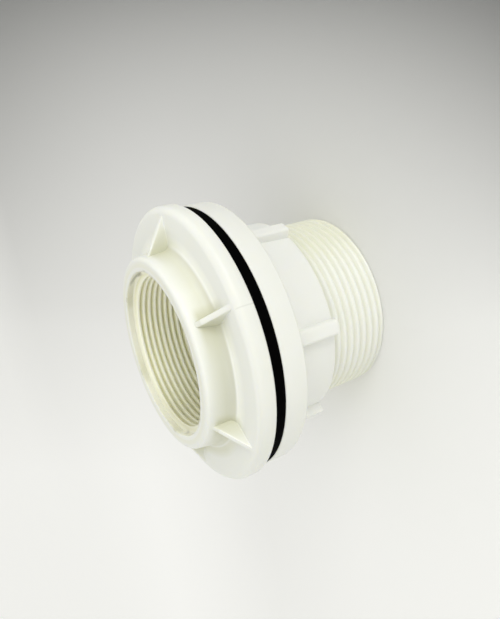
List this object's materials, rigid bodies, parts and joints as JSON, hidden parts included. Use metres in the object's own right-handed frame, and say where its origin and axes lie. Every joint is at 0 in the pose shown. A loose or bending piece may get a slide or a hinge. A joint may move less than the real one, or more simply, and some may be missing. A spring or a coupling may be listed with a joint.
{
  "type": "tank connector",
  "caption": "Flanged tank connector: threaded mouth, gusseted flange, rubber gasket and a ribbed back nut that screws along the threaded tail to clamp a tank wall.",
  "frame": {"origin": "centre of the tail's end face, on which the fitting stands", "axes": "+Z along the waterway from the tail's end towards the mouth; +X along one gusset rib of the flange"},
  "size_m": [0.1032, 0.1032, 0.0763],
  "materials": {
    "cream_plastic": "satin",
    "black_rubber": "matte"
  },
  "bodies": {
    "connector_body": {"connector_body": "cream_plastic"},
    "gasket": {"gasket": "black_rubber"},
    "back_nut": {"back_nut": "cream_plastic"}
  },
  "joints": [
    {"name": "gasket_slide", "type": "slide", "parent": "connector_body", "child": "gasket", "axis": [0, 0, -1], "range_m": [0, 0.024]},
    {"name": "nut_turn", "type": "hinge", "parent": "gasket", "child": "back_nut", "pos_m": [0, 0, 0.0557], "axis": [0, 0, -1], "range_deg": [0, 2880]}
  ],
  "couplings": [
    {"joint": "gasket_slide", "follows": "nut_turn", "m_per_rad": 0.00047746}
  ]
}
